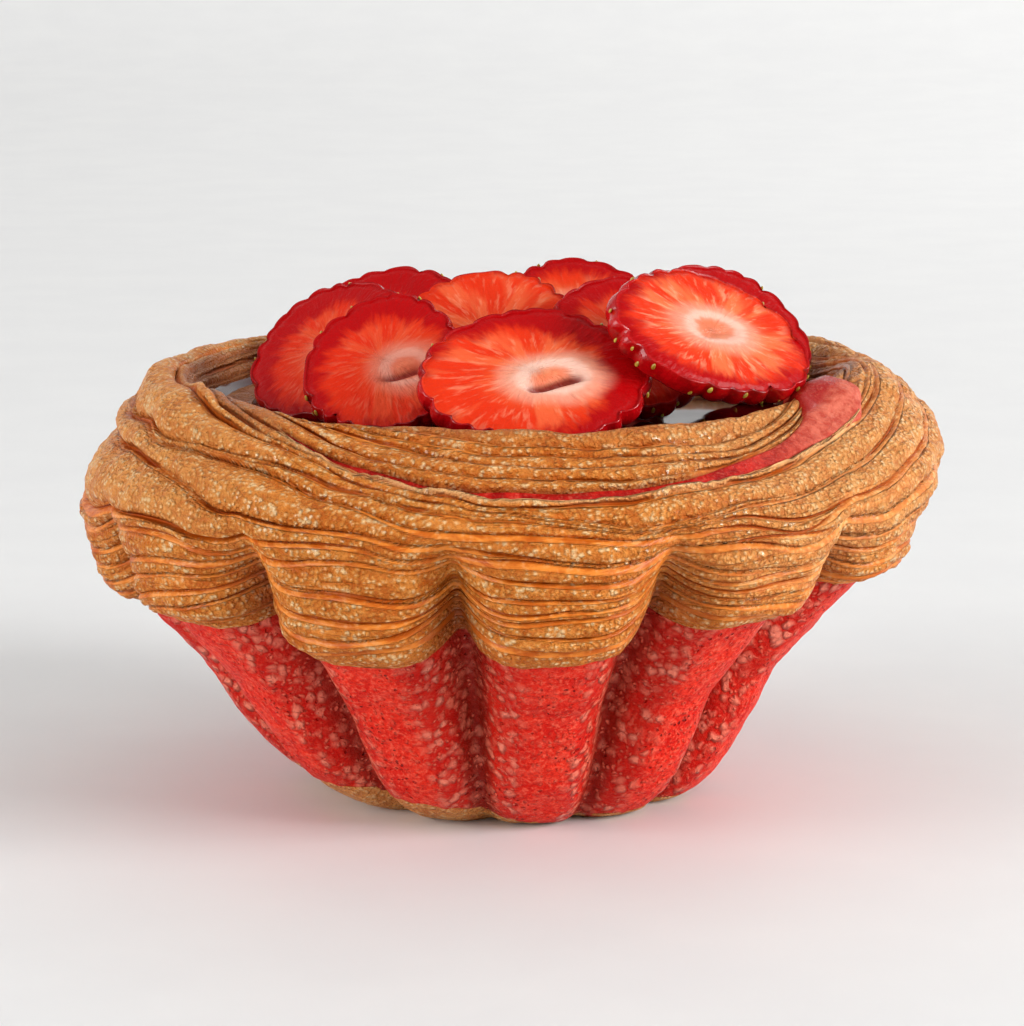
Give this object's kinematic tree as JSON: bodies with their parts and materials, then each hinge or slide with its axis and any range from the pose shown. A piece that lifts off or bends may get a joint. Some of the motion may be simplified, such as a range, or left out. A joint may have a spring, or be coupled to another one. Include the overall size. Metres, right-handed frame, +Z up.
{
  "type": "strawberry danish",
  "caption": "Laminated dough cup with a fluted red lower wall, a swollen golden collar, dark jelly and leaning strawberry slices.",
  "frame": {"origin": "centre of the flat base, at the bottom of the bounding box", "axes": "+Z up; -Y is the front, where the inner turn of dough laps over the rim; +X to the right seen from the front"},
  "size_m": [0.1031, 0.1022, 0.0648],
  "materials": {
    "golden_crust": "baked, satin",
    "red_dough": "baked, satin",
    "dark_jelly": "wet gloss",
    "strawberry": "glazed, wet"
  },
  "bodies": {
    "root": {"dough": "golden_crust", "red_sheet": "red_dough", "red_ribbon": "red_dough", "jelly": "dark_jelly", "slice_front": "strawberry", "slice_right": "strawberry", "slice_left": "strawberry", "slice_far_left": "strawberry", "slice_mid": "strawberry", "slice_mid_right": "strawberry", "slice_back_left": "strawberry", "slice_back": "strawberry", "slice_back_right": "strawberry"}
  },
  "joints": []
}
